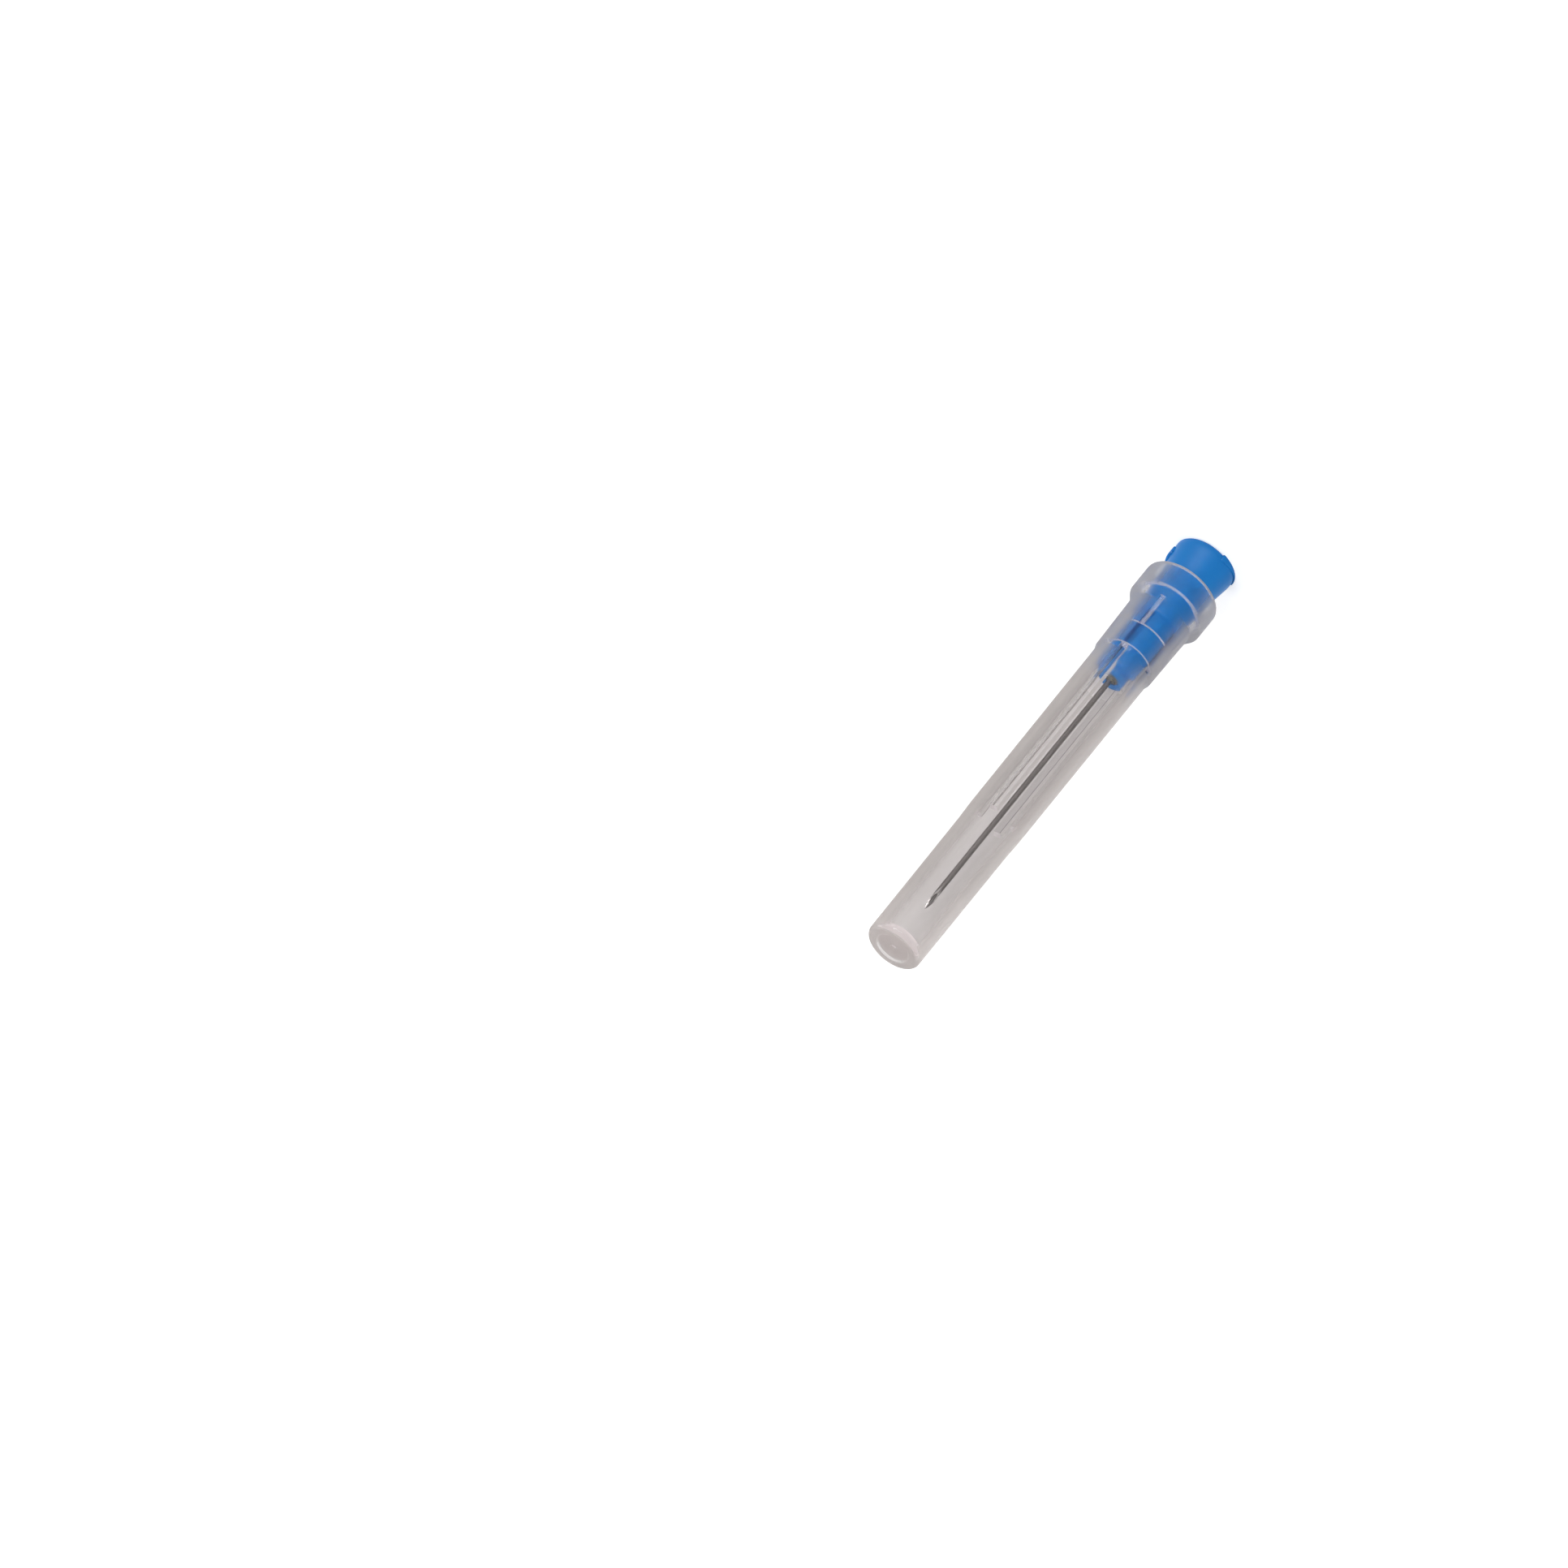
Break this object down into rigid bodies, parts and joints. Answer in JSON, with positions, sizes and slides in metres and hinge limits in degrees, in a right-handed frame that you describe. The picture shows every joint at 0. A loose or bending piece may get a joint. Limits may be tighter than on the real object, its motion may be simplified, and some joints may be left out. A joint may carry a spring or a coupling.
{
  "type": "hypodermic needle",
  "caption": "Capped hypodermic needle: blue Luer hub with lock lugs, thin steel tube with a ground point, and a translucent ribbed sheath that pulls off along the axis.",
  "frame": {"origin": "centre of the hub's open end, on the face that a syringe meets and that the part stands on", "axes": "+Z along the needle's axis, from the hub's open end to the point; +X through the lower end of the upper lock lug"},
  "size_m": [0.0094, 0.0094, 0.0646],
  "materials": {
    "blue_polypropylene": "moulded, satin to gloss",
    "ground_steel": "drawn and ground",
    "clear_epoxy": "cured clear, glossy",
    "translucent_polypropylene": "natural translucent, lightly frosted"
  },
  "bodies": {
    "needle": {"luer_hub": "blue_polypropylene", "cannula": "ground_steel", "adhesive_bead": "clear_epoxy"},
    "sheath": {"needle_sheath": "translucent_polypropylene"}
  },
  "joints": [
    {"name": "sheath_slide", "type": "slide", "parent": "needle", "child": "sheath", "axis": [0, 0, 1], "range_m": [0, 0.06]}
  ]
}
